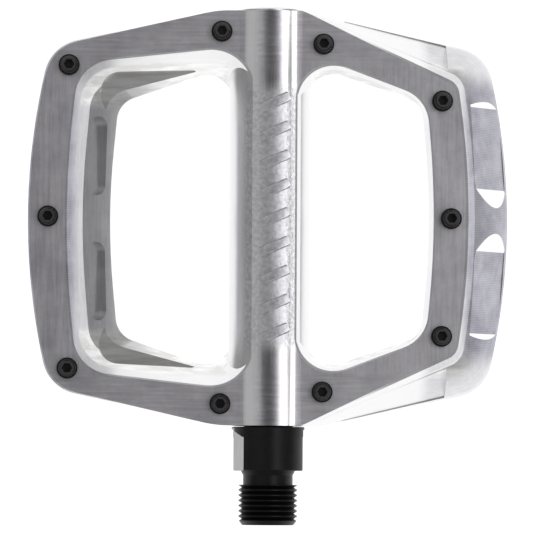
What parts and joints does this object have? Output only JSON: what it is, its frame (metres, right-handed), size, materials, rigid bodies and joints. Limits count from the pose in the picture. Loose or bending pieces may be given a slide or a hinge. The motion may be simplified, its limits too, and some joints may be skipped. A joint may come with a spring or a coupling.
{
  "type": "flat pedal",
  "caption": "Flat bicycle pedal: satin alloy platform with two windows and screwed-in tread pins, turning freely on a black steel spindle with a crank thread.",
  "frame": {"origin": "on the spindle's axis, in the plane of the shoulder that seats on the crank arm", "axes": "+Y along the spindle from the crank towards the tip; +Z out of one tread face, square to it; +X across the platform. At -Y the crank thread."},
  "size_m": [0.1174, 0.1262, 0.025],
  "materials": {
    "platform_alloy": "satin, brushed along the bars",
    "cap_alloy": "bright satin",
    "black_spindle_steel": "black oxide, satin",
    "black_pin_steel": "black oxide, semi-gloss",
    "bush_polymer": "plain bearing polymer",
    "seal_rubber": "matt black",
    "race_steel": "ground bearing steel",
    "ball_steel": "polished",
    "cage_steel": "pressed steel",
    "shield_steel": "bright pressed steel",
    "spacer_steel": "turned steel",
    "spring_steel": "phosphated spring steel",
    "nut_steel": "zinc plated",
    "nut_nylon": "nylon"
  },
  "bodies": {
    "axle": {"axle": "black_spindle_steel", "inboard_inner_race": "race_steel", "outboard_inner_race": "race_steel", "inner_race_spacer": "spacer_steel", "thrust_washer": "spacer_steel", "lock_nut": "nut_steel", "lock_nut_insert": "nut_nylon"},
    "platform": {"pedal_body": "platform_alloy", "upper_pins": "black_pin_steel", "lower_pins": "black_pin_steel", "axle_bush": "bush_polymer", "lip_seal": "seal_rubber", "end_cap": "cap_alloy", "end_cap_o_ring": "seal_rubber", "outer_race_spacer": "spacer_steel", "retaining_ring": "spring_steel", "inboard_outer_race": "race_steel", "inboard_crank_shield": "shield_steel", "inboard_tip_shield": "shield_steel", "outboard_outer_race": "race_steel", "outboard_crank_shield": "shield_steel", "outboard_tip_shield": "shield_steel"},
    "inboard_rollers": {"inboard_balls": "ball_steel", "inboard_cage": "cage_steel"},
    "outboard_rollers": {"outboard_balls": "ball_steel", "outboard_cage": "cage_steel"}
  },
  "joints": [
    {"name": "platform_spin", "type": "hinge", "parent": "axle", "child": "platform", "pos_m": [0, 0.0613, 0], "axis": [0, 1, 0], "continuous": true},
    {"name": "inboard_rollers_turn", "type": "hinge", "parent": "axle", "child": "inboard_rollers", "pos_m": [0, 0.0915, 0], "axis": [0, 1, 0], "continuous": true},
    {"name": "outboard_rollers_turn", "type": "hinge", "parent": "axle", "child": "outboard_rollers", "pos_m": [0, 0.0975, 0], "axis": [0, 1, 0], "continuous": true}
  ],
  "couplings": [
    {"joint": "inboard_rollers_turn", "follows": "platform_spin", "ratio": 0.5952},
    {"joint": "outboard_rollers_turn", "follows": "platform_spin", "ratio": 0.5952}
  ]
}
